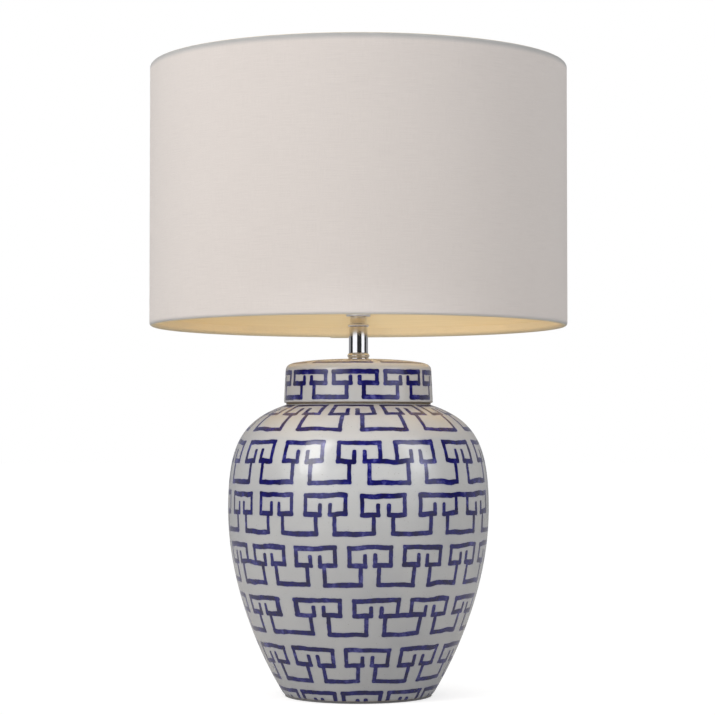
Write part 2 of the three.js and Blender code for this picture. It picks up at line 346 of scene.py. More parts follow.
def make_handling_group():
    """Faint smears and fine scratches left by making and handling."""
    tree, given, out = new_group(
        "handling",
        [("Smear Size", "Float"), ("Smooth", "Float"), ("Dull", "Float"), ("Relief", "Float")],
        [("Roughness", "Float"), ("Normal", "Vector")],
    )
    place = object_place(tree)
    smear = add(tree, "ShaderNodeTexNoise", place)
    put(tree, smear.inputs["Scale"], given["Smear Size"])
    smear.inputs["Detail"].default_value = 4.0
    fine = noise(tree, place, 1400.0, 2.0)
    amount = calc(tree, "MULTIPLY", spread(tree, smear.outputs[0], 0.35, 0.7), 0.8)
    amount = calc(tree, "ADD", amount, calc(tree, "MULTIPLY", fine, 0.2))
    rough = mix_value(tree, amount, given["Smooth"], given["Dull"])
    tree.links.new(rough, out.inputs["Roughness"])
    tree.links.new(bump(tree, fine, given["Relief"]), out.inputs["Normal"])
    return tree


def make_turning_group():
    """Fine rings left by a lathe, as a height from 0 to 1."""
    tree, given, out = new_group("turning", [("Rings", "Float")], [("Height", "Float")])
    place = add(tree, "ShaderNodeSeparateXYZ", object_place(tree)).outputs
    radius = calc(tree, "SQRT", calc(tree, "ADD", calc(tree, "POWER", place[0], 2.0),
                                     calc(tree, "POWER", place[1], 2.0)))
    along = calc(tree, "MULTIPLY", calc(tree, "ADD", radius, place[2]), given["Rings"])
    rings = add(tree, "ShaderNodeTexNoise", noise_dimensions="1D")
    tree.links.new(along, rings.inputs["W"])
    rings.inputs["Scale"].default_value = 1.0
    rings.inputs["Detail"].default_value = 3.0
    tree.links.new(rings.outputs[0], out.inputs["Height"])
    return tree


# The fret is a row of boxes, each open below between two hooks, hung on a meander that runs
# from box to box. Sizes across are shares of one repeat, and sizes down are in millimetres.
HOOK_AT = 0.09
DROP_AT = 0.166
HOOK_START = 0.5  # share of the box's height where a hook starts
UPRIGHT_THINNER = 0.35


def make_fret_group():
    """One painted row, as a mask, from where a point is along the row and down it."""
    tree, given, out = new_group(
        "fret_row",
        [("Cell", "Float"), ("Cell Width", "Float"), ("Down", "Float"), ("Top", "Float"),
         ("Middle", "Float"), ("Bottom", "Float"), ("Box Half", "Float"), ("Join Cell", "Float"),
         ("Join Line", "Float"), ("Half Stroke", "Float")],
        [("Paint", "Float"), ("Depth", "Float")],
    )
    width, down, box = given["Cell Width"], given["Down"], given["Box Half"]
    top, middle, bottom = given["Top"], given["Middle"], given["Bottom"]
    shifted = calc(tree, "FRACT", calc(tree, "ADD", given["Cell"], 0.5))
    across = calc(tree, "ABSOLUTE", calc(tree, "SUBTRACT", shifted, 0.5))

    def upright(centre):
        """How far a point is from a stroke that runs down the row, which is painted thinner."""
        away = calc(tree, "ABSOLUTE", calc(tree, "SUBTRACT", across, centre))
        return calc(tree, "MULTIPLY_ADD", away, width, UPRIGHT_THINNER)

    def along(low, high):
        """How far a point is past the ends of a stroke that runs along the row."""
        before, after = calc(tree, "SUBTRACT", low, across), calc(tree, "SUBTRACT", across, high)
        past = calc(tree, "MAXIMUM", before, after)
        return calc(tree, "MULTIPLY", past, width)

    def line(height):
        return calc(tree, "ABSOLUTE", calc(tree, "SUBTRACT", down, height))

    def between(low, high):
        """How far a point is outside two heights."""
        return calc(tree, "MAXIMUM", calc(tree, "SUBTRACT", low, down), calc(tree, "SUBTRACT", down, high))

    hook_top = mix_value(tree, HOOK_START, top, middle)
    join_away = calc(tree, "ABSOLUTE", calc(tree, "SUBTRACT", given["Cell"], given["Join Cell"]))
    join_past = calc(tree, "MULTIPLY", calc(tree, "ADD", join_away, calc(tree, "SUBTRACT", box, 0.5)), width)
    strokes = [
        (along(0.0, box), line(top)),
        (upright(box), between(top, middle)),
        (along(HOOK_AT, box), line(middle)),
        (upright(HOOK_AT), between(hook_top, middle)),
        (upright(DROP_AT), between(middle, bottom)),
        (along(DROP_AT, 0.5), line(bottom)),
        (join_past, line(given["Join Line"])),
    ]
    nearest = None
    for sideways, downwards in strokes:
        square = calc(tree, "MAXIMUM", sideways, downwards)
        corner = add(tree, "ShaderNodeCombineXYZ", sideways, downwards).outputs[0]
        corner = add(tree, "ShaderNodeVectorMath", corner, (0, 0, 0), operation="MAXIMUM").outputs[0]
        rounded = add(tree, "ShaderNodeVectorMath", corner, operation="LENGTH").outputs["Value"]
        reach = mix_value(tree, 0.55, square, calc(tree, "MAXIMUM", rounded, square))
        nearest = reach if nearest is None else calc(tree, "MINIMUM", nearest, reach)
    inside = calc(tree, "SUBTRACT", given["Half Stroke"], nearest)
    tree.links.new(spread(tree, inside, -0.22, 0.22, kind="SMOOTHSTEP"), out.inputs["Paint"])
    tree.links.new(inside, out.inputs["Depth"])
    return tree


HANDLING = make_handling_group()
TURNING = make_turning_group()
FRET = make_fret_group()


# ---- glaze and fret ---------------------------------------------------------------------------

# Colours of the glaze and the cobalt, and the brush's stroke in millimetres.
GLAZE = (0.475, 0.478, 0.475, 1)
GLAZE_COOL = (0.415, 0.42, 0.43, 1)
COBALT_DARK = (0.005, 0.004, 0.055, 1)
COBALT = (0.006, 0.006, 0.135, 1)
COBALT_THIN = (0.016, 0.018, 0.25, 1)
BARE_CLAY = (0.42, 0.36, 0.29, 1)
HALF_STROKE = 2.35
HAND = ((45.0, 1.0, 0.26), (260.0, 2.0, 0.045))  # how often, how unevenly and how far the hand strays

# Each painted row of the jar: repeats round it, degrees from the front to the first repeat's
# middle, how the spacing opens, leans and slips round the jar in degrees, then in millimetres down
# from the collar its top, middle and bottom lines, then the half width of its boxes as a share of
# the spacing, and last the gap that the painter closed and its line.
FAR_OFF = 40  # a gap that is nowhere on the row
JAR_ROWS = [
    (11, -3.5, 0, -1.2, 0, 2.6, 21.4, 44.0, 0.385, FAR_OFF, 0),
    (14, 0.4, 0, 0, 0, 58.3, 76.4, 95.8, 0.355, 0.5, 76.4),
    (14, 10.8, -7.0, 2.3, 0, 107.4, 124.6, 142.0, 0.36, 1.5, 107.4),
    (15, 5.0, 0, 0, 0, 155.0, 171.2, 189.5, 0.37, -2.5, 171.2),
    (13, 8.5, 0, 0, 6.3, 204.5, 219.2, 237.2, 0.375, 0.5, 219.2),
    (11, 5.2, 0, 2.7, 0, 253.2, 269.4, 286.7, 0.38, FAR_OFF, 0),
    (11, 2.4, 0, 0, 0, 300.0, 316.0, 334.6, 0.405, FAR_OFF, 0),
]
LID_SIDE_ROW = (9, -2.5, 12.4, 22.9, 36.1, 0.415)
LID_TOP_ROW = (6, -14.5, -64.0, -47.0, -28.0, 0.415)
LID_ROW_FROM = 320.0  # the height that the lid's side row is measured down from


def strayed(tree, place):
    """The place, moved a little as by an unsteady hand."""
    moved = place
    for scale, detail, reach in HAND:
        texture = add(tree, "ShaderNodeTexNoise", place)
        texture.inputs["Scale"].default_value = scale
        texture.inputs["Detail"].default_value = detail
        middle = add(tree, "ShaderNodeVectorMath", texture.outputs["Color"], (0.5, 0.5, 0.5),
                     operation="SUBTRACT").outputs[0]
        push = 4 * reach * MM
        step = stretched(tree, middle, (push, push, push))
        moved = add(tree, "ShaderNodeVectorMath", moved, step, operation="ADD").outputs[0]
    return moved


def round_axis(tree, place):
    """(turns round the axis from the front, radius in millimetres, height in millimetres)."""
    x, y, z = add(tree, "ShaderNodeSeparateXYZ", place).outputs
    turns = calc(tree, "DIVIDE", calc(tree, "ARCTAN2", x, calc(tree, "MULTIPLY", y, -1.0)), tau)
    squares = calc(tree, "ADD", calc(tree, "MULTIPLY", x, x), calc(tree, "MULTIPLY", y, y))
    radius = calc(tree, "DIVIDE", calc(tree, "SQRT", squares), MM)
    return turns, radius, calc(tree, "DIVIDE", z, MM)


def cell_width(tree, radius, count):
    return calc(tree, "DIVIDE", calc(tree, "MULTIPLY", radius, tau), count)


def stroke_width(tree, place):
    return spread(tree, noise(tree, place, 170.0, 2.0), 0.25, 0.75, HALF_STROKE - 0.3, HALF_STROKE + 0.3)


def paint_jar(tree):
    """The jar's rows of fret, as (paint, depth inside a stroke)."""
    place = object_place(tree)
    turns, radius, _ = round_axis(tree, strayed(tree, place))
    waver = calc(tree, "SUBTRACT", noise(tree, place, 40.0, 1.0), 0.5)
    down = calc(tree, "DIVIDE", attribute(tree, "down"), MM)
    down = calc(tree, "ADD", down, calc(tree, "MULTIPLY", waver, 4.5))
    edges = [(row[7] + after[5]) / 2 for row, after in zip(JAR_ROWS, JAR_ROWS[1:])]
    below = [calc(tree, "GREATER_THAN", down, edge) for edge in edges]

    def of_row(column, scale=1.0):
        """The value in that column for the row that the point is in."""
        values = [row[column] * scale for row in JAR_ROWS]
        found = values[0]
        for mask, value, after in zip(below, values, values[1:]):
            if after != value:
                found = calc(tree, "MULTIPLY_ADD", mask, after - value, found)
        return found

    count = of_row(0)
    angle = calc(tree, "MULTIPLY", turns, tau)
    opening = calc(tree, "SUBTRACT", 1.0, calc(tree, "COSINE", angle))
    warp = calc(tree, "MULTIPLY", opening, of_row(2, 1 / 360))
    warp = calc(tree, "MULTIPLY_ADD", calc(tree, "SINE", angle), of_row(3, 1 / 360), warp)
    slipped = spread(tree, angle, radians(-48), radians(-25), 1.0, 0.0, "SMOOTHSTEP")
    warp = calc(tree, "MULTIPLY_ADD", slipped, of_row(4, 1 / 360), warp)
    start = of_row(1, 1 / 360)
    cell = calc(tree, "MULTIPLY", calc(tree, "SUBTRACT", calc(tree, "ADD", turns, warp), start), count)
    painted = use(
        tree, FRET, Cell=cell, Cell_Width=cell_width(tree, radius, count), Down=down,
        Top=of_row(5), Middle=of_row(6), Bottom=of_row(7), Box_Half=of_row(8),
        Join_Cell=of_row(9), Join_Line=of_row(10), Half_Stroke=stroke_width(tree, place))
    return painted["Paint"], painted["Depth"]


def paint_lid(tree):
    """The lid's side row, and the row that lies on its top."""
    place = object_place(tree)
    turns, radius, height = round_axis(tree, strayed(tree, place))
    thick = stroke_width(tree, place)
    rows = []
    for (count, start, top, middle, bottom, box), down in (
        (LID_SIDE_ROW, calc(tree, "SUBTRACT", LID_ROW_FROM, height)),
        (LID_TOP_ROW, calc(tree, "MULTIPLY", radius, -1.0)),
    ):
        cell = calc(tree, "MULTIPLY_ADD", turns, count, -start / 360 * count)
        rows.append(use(
            tree, FRET, Cell=cell, Cell_Width=cell_width(tree, radius, count), Down=down,
            Top=top, Middle=middle, Bottom=bottom, Box_Half=box, Join_Cell=FAR_OFF,
            Join_Line=0.0, Half_Stroke=thick))
    on_top = calc(tree, "GREATER_THAN", height, LID_ROW_FROM - 5.0)
    paint = mix_value(tree, on_top, rows[0]["Paint"], rows[1]["Paint"])
    return paint, mix_value(tree, on_top, rows[0]["Depth"], rows[1]["Depth"])


def make_glaze(name, paint_rows, bare_below):
    """Glossy glaze over painted cobalt, with bare clay under a height in millimetres."""
    material, tree, shader = finish_of(name, IOR=1.5, Coat_Weight=0.3, Coat_Roughness=0.12, Coat_IOR=1.5)
    place = object_place(tree)
    paint, depth = paint_rows(tree)
    _, _, height = round_axis(tree, place)

    cloud = noise(tree, place, 14.0, 3.0)
    ground = mix_colour(tree, spread(tree, cloud, 0.35, 0.7), GLAZE, GLAZE_COOL)
    haze = spread(tree, depth, -2.2, 0.0, 0.0, 0.16, "SMOOTHSTEP")
    ground = mix_colour(tree, haze, ground, (0.2, 0.2, 0.42, 1))
    speck = spread(tree, noise(tree, place, 900.0, 0.0), 0.79, 0.83)
    ground = mix_colour(tree, calc(tree, "MULTIPLY", speck, 0.5), ground, (0.2, 0.17, 0.15, 1))

    pool = noise(tree, place, 120.0, 3.0)
    brush = noise(tree, stretched(tree, place, (1.0, 1.0, 3.0)), 420.0, 3.0)
    load = calc(tree, "ADD", calc(tree, "MULTIPLY", pool, 0.75), calc(tree, "MULTIPLY", brush, 0.25))
    cobalt = mix_colour(tree, spread(tree, load, 0.42, 0.62), COBALT, COBALT_DARK)
    cobalt = mix_colour(tree, spread(tree, load, 0.42, 0.3), cobalt, COBALT_THIN)
    rim = spread(tree, depth, 0.0, 0.7, 0.35, 0.0)
    cobalt = mix_colour(tree, rim, cobalt, COBALT_DARK)
    cover = calc(tree, "MULTIPLY", paint, spread(tree, load, 0.28, 0.45, 0.82, 1.0))
    colour = mix_colour(tree, cover, ground, cobalt)

    ragged = calc(tree, "MULTIPLY_ADD", noise(tree, place, 80.0), 1.4, bare_below - 0.7)
    bare = spread(tree, calc(tree, "SUBTRACT", ragged, height), -0.15, 0.15)
    grit = noise(tree, place, 700.0, 4.0)
    clay = mix_colour(tree, grit, BARE_CLAY, (0.3, 0.25, 0.2, 1))
    colour = mix_colour(tree, bare, colour, clay)
    rough = spread(tree, noise(tree, place, 60.0, 3.0), 0.3, 0.7, 0.17, 0.27)
    rough = mix_value(tree, bare, rough, 0.85)

    rings = use(tree, TURNING, Rings=420.0)["Height"]
    ripple = noise(tree, place, 55.0, 2.0)
    relief = calc(tree, "ADD", calc(tree, "MULTIPLY", rings, 0.12), calc(tree, "MULTIPLY", ripple, 0.5))
    relief = calc(tree, "MULTIPLY_ADD", calc(tree, "MULTIPLY", bare, grit), 0.3, relief)
    normal = bump(tree, relief, 0.0006)
    wire_up(tree, shader, Base_Color=colour, Roughness=rough, Normal=normal)
    return material


# ---- metals, plastics and the rest ------------------------------------------------------------


def make_metal(name, colour, smooth_to, dull_to, rings=None, tint=None):
    material, tree, shader = finish_of(name, Metallic=1.0)
    handled = use(tree, HANDLING, Smear_Size=90.0, Smooth=smooth_to, Dull=dull_to, Relief=0.00001)
    shade = spread(tree, noise(tree, object_place(tree), 70.0, 4.0), 0.3, 0.75)
    colour_out = mix_colour(tree, shade, colour, tint or tuple(0.86 * part for part in colour[:3]) + (1,))
    normal = handled["Normal"]
    if rings:
        normal = bump(tree, use(tree, TURNING, Rings=rings)["Height"], 0.00006, normal=normal)
    wire_up(tree, shader, Base_Color=colour_out, Roughness=handled["Roughness"], Normal=normal)
    return material


def make_moulded(name, colour, smooth_to, dull_to, relief=0.00003):
    """Plastic, rubber or porcelain, with faint clouding and a moulded skin."""
    material, tree, shader = finish_of(name, IOR=1.47)
    handled = use(tree, HANDLING, Smear_Size=60.0, Smooth=smooth_to, Dull=dull_to, Relief=relief)
    cloud = spread(tree, noise(tree, object_place(tree), 110.0, 4.0), 0.3, 0.7)
    darker = tuple(0.84 * part for part in colour[:3]) + (1,)
    tinted = mix_colour(tree, cloud, colour, darker)
    wire_up(tree, shader, Base_Color=tinted, Roughness=handled["Roughness"], Normal=handled["Normal"])
    return material


def make_felt(name):
    material, tree, shader = finish_of(name, Roughness=0.95, Sheen_Weight=0.4, Sheen_Roughness=0.5)
    place = object_place(tree)
    fibre = noise(tree, stretched(tree, place, (1.0, 0.35, 1.0)), 1500.0, 5.0, 0.7)
    lint = noise(tree, place, 260.0, 3.0)
    amount = calc(tree, "ADD", calc(tree, "MULTIPLY", fibre, 0.7), calc(tree, "MULTIPLY", lint, 0.3))
    fluff = spread(tree, amount, 0.35, 0.68)
    colour = mix_colour(tree, fluff, (0.13, 0.13, 0.135, 1), (0.22, 0.22, 0.225, 1))
    wire_up(tree, shader, Base_Color=colour, Normal=bump(tree, amount, 0.0004))
    return material


def make_cork(name):
    material, tree, shader = finish_of(name, Roughness=0.85)
    place = object_place(tree)
    grains = add(tree, "ShaderNodeTexVoronoi", place)
    grains.inputs["Scale"].default_value = 900.0
    grey = add(tree, "ShaderNodeSeparateColor", grains.outputs["Color"]).outputs[0]
    colour = mix_colour(tree, grey, (0.15, 0.115, 0.08, 1), (0.25, 0.20, 0.145, 1))
    wire_up(tree, shader, Base_Color=colour, Normal=bump(tree, grains.outputs["Distance"], 0.0003))
    return material


# The linen's threads, in metres of cloth, then the colours of the cloth: between its hems, painted lighter
# and warmer as the bulb's glow through it; near them, painted dimmer; over their wires, with painted shade;
# and of the film that lines it.
THREAD_ACROSS = 0.00052
THREAD_UP = 0.00046
LINEN_PAINTED_GLOW = (0.745, 0.69, 0.655, 1)
LINEN_PAINTED_DIM = (0.48, 0.475, 0.47, 1)
LINEN_HEM_PAINTED_SHADE = (0.43, 0.425, 0.42, 1)
FILM = (0.82, 0.71, 0.48, 1)


def make_linen(name, shade_r, shade_bottom, shade_top):
    """Off-white slubbed linen with painted glow between its hems and painted shade at them, whose inner
    flaps match the film.
    """
    material, tree, shader = finish_of(name, Roughness=0.9, Sheen_Weight=0.25, Sheen_Roughness=0.6)
    cloth = add(tree, "ShaderNodeTexCoord").outputs["UV"]
    across, up, _ = add(tree, "ShaderNodeSeparateXYZ", cloth).outputs
    drift = noise(tree, stretched(tree, cloth, (30.0, 140.0, 1.0)), 1.0, 2.0)
    rows = calc(tree, "DIVIDE", calc(tree, "MULTIPLY_ADD", drift, 0.0006, up), THREAD_UP)
    lean = noise(tree, stretched(tree, cloth, (140.0, 12.0, 1.0)), 1.0, 2.0)
    columns = calc(tree, "DIVIDE", calc(tree, "MULTIPLY_ADD", lean, 0.0012, across), THREAD_ACROSS)
    weft = calc(tree, "ABSOLUTE", calc(tree, "SINE", calc(tree, "MULTIPLY", rows, pi)))
    warp = calc(tree, "ABSOLUTE", calc(tree, "SINE", calc(tree, "MULTIPLY", columns, pi)))
    crossing = calc(tree, "ADD", calc(tree, "FLOOR", rows), calc(tree, "FLOOR", columns))
    over = calc(tree, "ABSOLUTE", calc(tree, "MODULO", crossing, 2.0))
    threads = mix_value(tree, over, calc(tree, "MULTIPLY", weft, calc(tree, "MULTIPLY_ADD", warp, 0.4, 0.6)),
                        calc(tree, "MULTIPLY", warp, calc(tree, "MULTIPLY_ADD", weft, 0.4, 0.6)))
    slub = noise(tree, stretched(tree, cloth, (45.0, 2100.0, 1.0)), 1.0, 3.0, 0.6)
    slub_up = noise(tree, stretched(tree, cloth, (1900.0, 60.0, 1.0)), 1.0, 3.0, 0.6)
    streaks = calc(tree, "ADD", calc(tree, "MULTIPLY", slub, 0.65), calc(tree, "MULTIPLY", slub_up, 0.35))
    tone = calc(tree, "ADD", calc(tree, "MULTIPLY", threads, 0.35), calc(tree, "MULTIPLY", streaks, 0.65))

    _, radius, height = round_axis(tree, object_place(tree))
    from_rim = calc(tree, "MINIMUM", calc(tree, "SUBTRACT", height, shade_bottom),
                    calc(tree, "SUBTRACT", shade_top, height))
    # Painted glow: the cloth is painted light and warm away from its hems, as if the bulb shone through it,
    # and dimmer near them.
    painted_glow = spread(tree, from_rim, 1.0, 6.5, kind="SMOOTHSTEP")
    base = mix_colour(tree, painted_glow, LINEN_PAINTED_DIM, LINEN_PAINTED_GLOW)
    # Painted shade over the rolled hems, darkest at the very rim.
    base = mix_colour(tree, spread(tree, from_rim, 2.6, 0.2), base, LINEN_HEM_PAINTED_SHADE)
    base = mix_colour(tree, spread(tree, radius, shade_r - 1.0, shade_r - 1.7), base, FILM)
    shadow = mix_colour(tree, 1.0, base, (0.80, 0.79, 0.79, 1), "MULTIPLY")
    colour = mix_colour(tree, spread(tree, tone, 0.25, 0.62), shadow, base)
    relief = calc(tree, "ADD", calc(tree, "MULTIPLY", threads, 0.5), calc(tree, "MULTIPLY", streaks, 0.5))
    wire_up(tree, shader, Base_Color=colour, Normal=bump(tree, relief, 0.00022))
    return material


def make_liner(name):
    """Matt cream shade film with the linen's weave showing faintly through it."""
    material, tree, shader = finish_of(name, Roughness=0.55, IOR=1.5)
    cloth = add(tree, "ShaderNodeTexCoord").outputs["UV"]
    veil = noise(tree, stretched(tree, cloth, (20.0, 900.0, 1.0)), 1.0, 3.0)
    cloud = noise(tree, object_place(tree), 9.0, 2.0)
    amount = calc(tree, "ADD", calc(tree, "MULTIPLY", veil, 0.5), calc(tree, "MULTIPLY", cloud, 0.5))
    colour = mix_colour(tree, spread(tree, amount, 0.35, 0.65), FILM, (0.76, 0.65, 0.42, 1))
    wire_up(tree, shader, Base_Color=colour, Normal=bump(tree, veil, 0.00005))
    return material


BULB_MIDDLE = 445  # the height where the bulb glows brightest


def make_bulb_glass(name):
    """Opal glass, alight, brightest round its middle."""
    material, tree, shader = finish_of(name, Roughness=0.3, IOR=1.5, Emission_Strength=0.75)
    _, _, height = round_axis(tree, object_place(tree))
    middle = spread(tree, height, BULB_MIDDLE - 45, BULB_MIDDLE)
    glow = mix_colour(tree, middle, (0.85, 0.42, 0.16, 1), (1.0, 0.74, 0.42, 1))
    dust = noise(tree, object_place(tree), 120.0, 3.0)
    colour = mix_colour(tree, dust, (0.42, 0.40, 0.36, 1), (0.36, 0.34, 0.30, 1))
    wire_up(tree, shader, Base_Color=colour, Emission_Color=glow)
    return material


# ---- jar --------------------------------------------------------------------------------------

JAR_WALL = 6
FOOT_WALL = 6.4
MOUTH_R = 57
MOUTH_WALL = 6


def jar_belly(foot_r, foot_z, belly_r):
    """The jar's outside from the foot to the collar, as two curves that meet at its widest."""
    wide = (belly_r, BELLY_Z)
    lower = curve((foot_r, foot_z), (99, 46.5), (belly_r, 113), wide, 60)
    upper = curve(wide, (belly_r, 234.9), (115, 261.8), (COLLAR_R, COLLAR_Z), 64)
    return lower + upper[1:]


FOOT_R = 71.4
BELLY_Z = 177.4
COLLAR_R = 70.4
COLLAR_Z = 276.9
FLOOR_Z = 23
FLOOR_THICK = 7


def make_jar():
    belly_r, foot_z, mouth_top = span("jar")
    belly = jar_belly(FOOT_R, foot_z, belly_r)
    belly[0] = (FOOT_R - 0.9, foot_z)
    belly.insert(1, (FOOT_R - 0.1, foot_z + 0.5))
    floor_top = FLOOR_Z + FLOOR_THICK
    inside = [p for p in offset(belly, JAR_WALL)[::4] if p[1] > floor_top + JAR_WALL][::-1]
    mouth_r = MOUTH_R + MOUTH_WALL
    ledge = COLLAR_Z + 0.7
    outline = [
        (ROD_HOLE, floor_top),
        (ROD_HOLE, FLOOR_Z),
        *arc(FOOT_R - 5.4, FLOOR_Z - 4, 4, 90, 0, 5),
        *arc(FOOT_R - FOOT_WALL + 1.2, foot_z + 1.2, 1.2, 180, 270, 4),
        *belly,
        *arc(COLLAR_R - 1.6, ledge - 0.9, 0.9, 20, 90, 4),
        *arc(mouth_r + 1, ledge + 1, 1, 270, 180, 4),
        *arc(mouth_r - 2, mouth_top - 2, 2, 0, 90, 5),
        *arc(MOUTH_R + 2, mouth_top - 2, 2, 90, 180, 5),
        (MOUTH_R, COLLAR_Z - JAR_WALL),
        *inside,
        (inside[-1][0] - 8, floor_top),
    ]
    jar = turned("glazed_jar", outline, ROUND)
    mark_down(jar, belly)
    drill(jar)
    return smooth(jar)


def mark_down(jar, belly):
    """Marks the outside with its distance down from the collar, in metres, for the painted rows."""
    path = belly[::-1]
    total = [0.0]
    for before, after in zip(path, path[1:]):
        total.append(total[-1] + hypot(after[0] - before[0], after[1] - before[1]))
    down = jar.data.attributes.new("down", "FLOAT", "POINT")
    for number, vertex in enumerate(jar.data.vertices):
        radius, height = hypot(vertex.co.x, vertex.co.y) / MM, vertex.co.z / MM
        nearest = min(range(len(path)), key=lambda k: abs(path[k][1] - height) + abs(path[k][0] - radius))
        away = hypot(path[nearest][0] - radius, path[nearest][1] - height)
        outside = away < 0.5
        down.data[number].value = total[nearest] * MM if outside else (-0.03 if height > FLOOR_Z else 0.36)


CORD_EXIT = (0, 76.9, 10)
CORD_SLOPE = 28  # degrees that the cord's way out points down


def cord_exit_frame():
    """Turns a piece made along +Z about its own origin to point out of the cord's exit."""
    return Matrix.Translation(Vector(CORD_EXIT) * MM) @ Matrix.Rotation(radians(-90 - CORD_SLOPE), 4, "X")


def drill(jar):
    """The cord's hole through the foot, cut with a plain round drill."""
    deselect()
    bpy.ops.mesh.primitive_cylinder_add(vertices=48, radius=5.5 * MM, depth=24 * MM)
    tool = named("drill")
    tool.data.transform(cord_exit_frame() @ Matrix.Translation((0, 0, -6 * MM)))
    cut = jar.modifiers.new("cord hole", "BOOLEAN")
    cut.operation = "DIFFERENCE"
    cut.solver = "EXACT"
    cut.object = tool
    apply(jar, cut)
    bpy.data.objects.remove(tool)


def make_bushing():
    """A moulded gland with a stepped flange and a soft mouth."""
    bushing = turned("cord_gland", [
        (3.5, -8), (5.2, -8), (5.2, 0.5), (7, 0.5), (7, 1.3), (6.4, 1.7), (5.8, 1.8), (5.4, 2.5),
        (4.0, 2.5), (3.5, 1.9),
    ])
    bushing.data.transform(cord_exit_frame())
    return smooth(ease(bushing, 0.2))


# ---- lid --------------------------------------------------------------------------------------

LID_WALL = 5.6
LID_SEAT_R = 13


def make_lid():
    outer, bottom, top = span("lid")
    ceiling = top - 10
    inner = outer - LID_WALL
    edge = curve((outer - 1.4, top - 11.2), (69.5, top - 7), (68.2, top - 5), (61.4, top - 3.5), 20)
    crown = curve((61.4, top - 3.5), (48, top - 1.1), (30, top), (LID_SEAT_R, top), 24)
    side = curve((outer, bottom + 1), (outer - 0.3, bottom + 11), (outer - 0.9, top - 21), edge[0], 12)
    lid = turned("glazed_lid", [
        *arc(inner + 0.9, bottom + 0.9, 0.9, 180, 270, 4),
        *arc(outer - 1, bottom + 1, 1, 270, 350, 5),
        *side[1:],
        *edge[1:],
        *crown[1:],
        (ROD_HOLE, top),
        (ROD_HOLE, ceiling),
        (LID_SEAT_R, ceiling),
        *arc(inner - 9, ceiling - 11, 8, 80, 0, 7),
    ], ROUND)
    return smooth(lid)


def make_seal():
    outer, bottom, top = span("lid_seal")
    middle = (bottom + top) / 2
    return smooth(turned("lid_seal_ring", [
        (outer - 5, bottom), (outer - 0.3, bottom), (outer, middle), (outer - 0.3, top), (outer - 5, top),
    ], ROUND))


# ---- neck -------------------------------------------------------------------------------------


def make_base_ring():
    """The beaded ring that stands on the lid, with a fine step at its foot."""
    outer, bottom, top = span("neck_base_ring")
    bottom -= 0.25
    bead = arc(outer - 2.3, bottom + 3.3, 2.3, -62, 62, 14)
    return smooth(turned("neck_foot_ring", [
        (ROD_HOLE, bottom),
        (outer - 0.5, bottom),
        (outer - 0.5, bottom + 0.55),
        *bead,
        (outer - 1.15, top - 0.2),
        (outer - 1.5, top),
        (ROD_HOLE, top),
    ]), 30)


def make_top_ring():
    """The upper bead, with a cove above it that meets the spacer."""
    outer, bottom, top = span("neck_top_ring")
    bead = arc(outer - 1.5, bottom + 1.7, 1.5, -70, 75, 14)
    cove = arc(outer - 0.4, top - 0.1, 1.6, -130, -180, 6)
    return smooth(turned("neck_head_ring", [
        (ROD_HOLE, bottom - 0.2),
        (outer - 1.3, bottom - 0.2),
        *bead,
        *cove,
        (ROD_HOLE, top),
    ]), 30)


def make_neck_tube():
    outer, bottom, top = span("neck_tube")
    tube = turned("neck_pipe", [
        (outer - 1, bottom - 0.2), (outer, bottom - 0.2), (outer, top + 0.1), (outer - 1, top + 0.1),
    ], 96)
    return smooth(ease(tube, 0.15, 3), 12)


def make_spacer():
    outer, bottom, top = span("neck_spacer")
    return smooth(turned("neck_collar", [
        (ROD_HOLE, bottom - 0.2),
        (outer, bottom - 0.2),
        (outer, top - 1.5),
        (outer - 0.5, top - 1.1),
        (outer - 0.5, top - 0.5),
        (outer, top - 0.2),
        (outer, top + 0.2),
        (ROD_HOLE, top + 0.2),
    ]), 30)


# ---- lamp holder ------------------------------------------------------------------------------


def make_holder_cap():
    """A drawn metal cup with a flat foot and a rolled upper edge."""
    outer, bottom, top = span("holder_cap")
    outside = [
        (ROD_HOLE, bottom), (11.3, bottom),
        *arc(11.3, bottom + 0.8, 0.8, -90, 0, 4),
        *curve((12.1, bottom + 1.4), (12.6, bottom + 4.5), (18.6, bottom + 5.5), (19.4, bottom + 9), 10),
        (19.6, top - 2.6), (outer, top - 2.2), (outer, top - 0.5), (outer - 0.3, top),
    ]
    inside = [
        (18.4, top), (18.4, bottom + 10), (16.6, bottom + 7.2), (11.4, bottom + 3.4), (10.6, bottom + 1.8),
        (ROD_HOLE, bottom + 1.8),
    ]
    return smooth(turned("holder_cup", outside + inside))


def make_holder_shell():
    """The outer shell, with the thread that the shade rings run on."""
    outer, bottom, top = span("holder_shell")
    thread = ridges(outer, bottom + 4, top - 3, 2.2, 0.6)
    return smooth(turned("holder_sleeve", [
        (17.9, bottom), (outer, bottom), (outer, bottom + 3), (outer - 0.6, bottom + 3.4),
        *thread,
        (outer - 0.6, top - 1.6), *arc(outer - 1.4, top - 1, 1, 0, 90, 5),
        *arc(15.8, top - 0.6, 0.6, 90, 180, 4), (15.2, top - 1.5), (17.9, top - 1.5),
    ]), 30)


def make_holder_core():
    outer, bottom, top = span("holder_core")
    floor = bottom + 7
    core = turned("holder_insulator", [
        (2.5, bottom), (outer, bottom), (outer, top),
        (14.4, top), (14.4, floor + 2.5), (12.8, floor), (2.5, floor),
    ])
    return smooth(ease(core, 0.35))


def make_screw_shell():
    """Thin brass, rolled with the bulb's thread."""
    outer, bottom, top = span("screw_shell")
    outside = ridges(outer, bottom + 1, top - 2, 3.6, 0.3)
    inside = [(radius - 0.35, height) for radius, height in reversed(outside)]
    return smooth(turned("brass_thread", [
        (outer - 0.65, bottom), (outer - 0.3, bottom), *outside,
        (outer - 0.1, top), (outer - 0.4, top), *inside,
    ]), 60)


